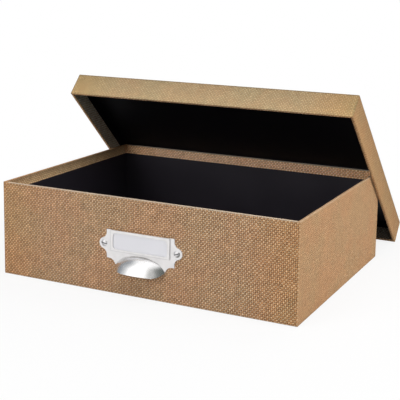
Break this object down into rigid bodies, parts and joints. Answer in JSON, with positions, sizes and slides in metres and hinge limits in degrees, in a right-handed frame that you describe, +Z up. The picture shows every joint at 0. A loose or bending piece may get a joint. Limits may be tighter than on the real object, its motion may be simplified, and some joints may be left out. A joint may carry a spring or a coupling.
{
  "type": "document box",
  "caption": "Fabric-covered rigid document box with a loose lift-off lid leaning on its back edge and a metal label holder with a cup pull on the front.",
  "frame": {"origin": "centre of the underside of the box, on the table", "axes": "+X to the right along the width, +Y to the back, away from the label holder, +Z up"},
  "size_m": [0.3584, 0.3743, 0.2089],
  "materials": {
    "woven_fabric": "matte",
    "lining_paper": "satin",
    "base_paper": "matte",
    "greyboard": "matte",
    "nickel": "satin",
    "card": "matte"
  },
  "bodies": {
    "box": {"base_board": "greyboard", "front_board": "greyboard", "rear_board": "greyboard", "left_board": "greyboard", "right_board": "greyboard", "box_cover": "woven_fabric", "wall_lining": "lining_paper", "floor_lining": "lining_paper", "base_pad": "base_paper", "label_plate": "nickel", "cup_pull": "nickel", "screws": "nickel", "screw_nuts": "nickel"},
    "lid": {"lid_top_board": "greyboard", "lid_front_board": "greyboard", "lid_rear_board": "greyboard", "lid_left_board": "greyboard", "lid_right_board": "greyboard", "lid_cover": "woven_fabric", "lid_lining": "lining_paper"},
    "card": {"label_card": "card"}
  },
  "joints": [
    {"name": "lid_lift", "type": "slide", "parent": "box", "child": "lid", "axis": [0, 0, 1], "range_m": [0, 0.15]},
    {"name": "card_lift", "type": "slide", "parent": "box", "child": "card", "axis": [0, 0, 1], "range_m": [0, 0.025]}
  ]
}
